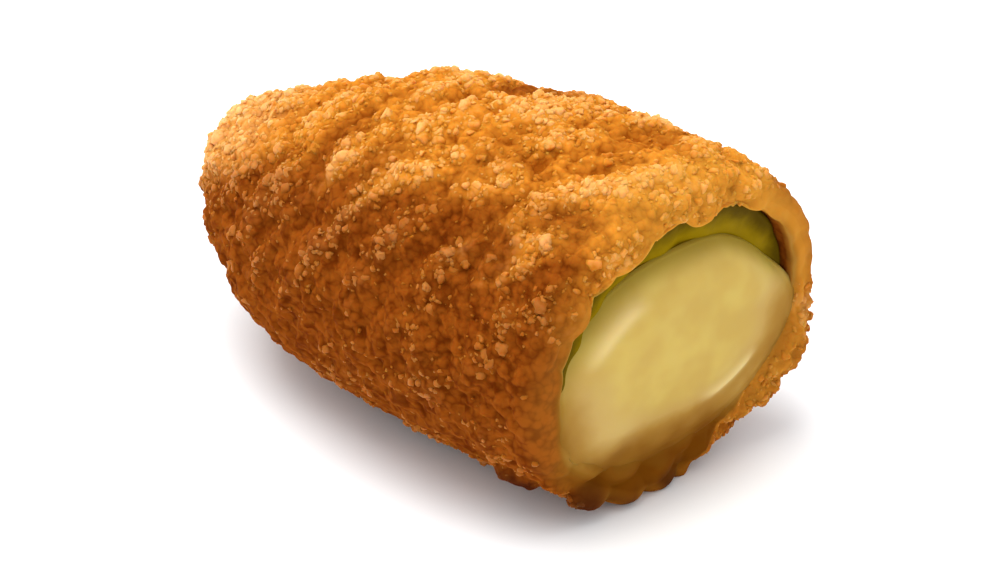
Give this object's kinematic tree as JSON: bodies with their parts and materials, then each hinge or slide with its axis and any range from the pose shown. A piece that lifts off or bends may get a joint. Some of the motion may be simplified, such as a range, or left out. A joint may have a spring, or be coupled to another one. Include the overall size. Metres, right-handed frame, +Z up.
{
  "type": "halved cheddar jalapeno popper",
  "caption": "Cut half of a breaded, fried pepper snack lying on its side: crumb coating, an arch of green pepper and a melted cheese filling shown at the cut end.",
  "frame": {"origin": "centre of the part's box in plan, on the surface that the popper lies on", "axes": "+X along the popper's length, from the closed tip to the cut end; +Z up; +Y completes the right-handed frame"},
  "size_m": [0.0496, 0.0321, 0.0293],
  "materials": {
    "golden_crust": "fried bread crumbs and batter, rough, golden to orange brown, a little oily",
    "jalapeno_flesh": "cooked pepper flesh, dark olive to ochre, moist and glossy",
    "melted_cheddar": "melted cheese, pale yellow, smooth with a soft gloss"
  },
  "bodies": {
    "root": {"coating": "golden_crust", "jalapeno": "jalapeno_flesh", "cheddar": "melted_cheddar"}
  },
  "joints": []
}
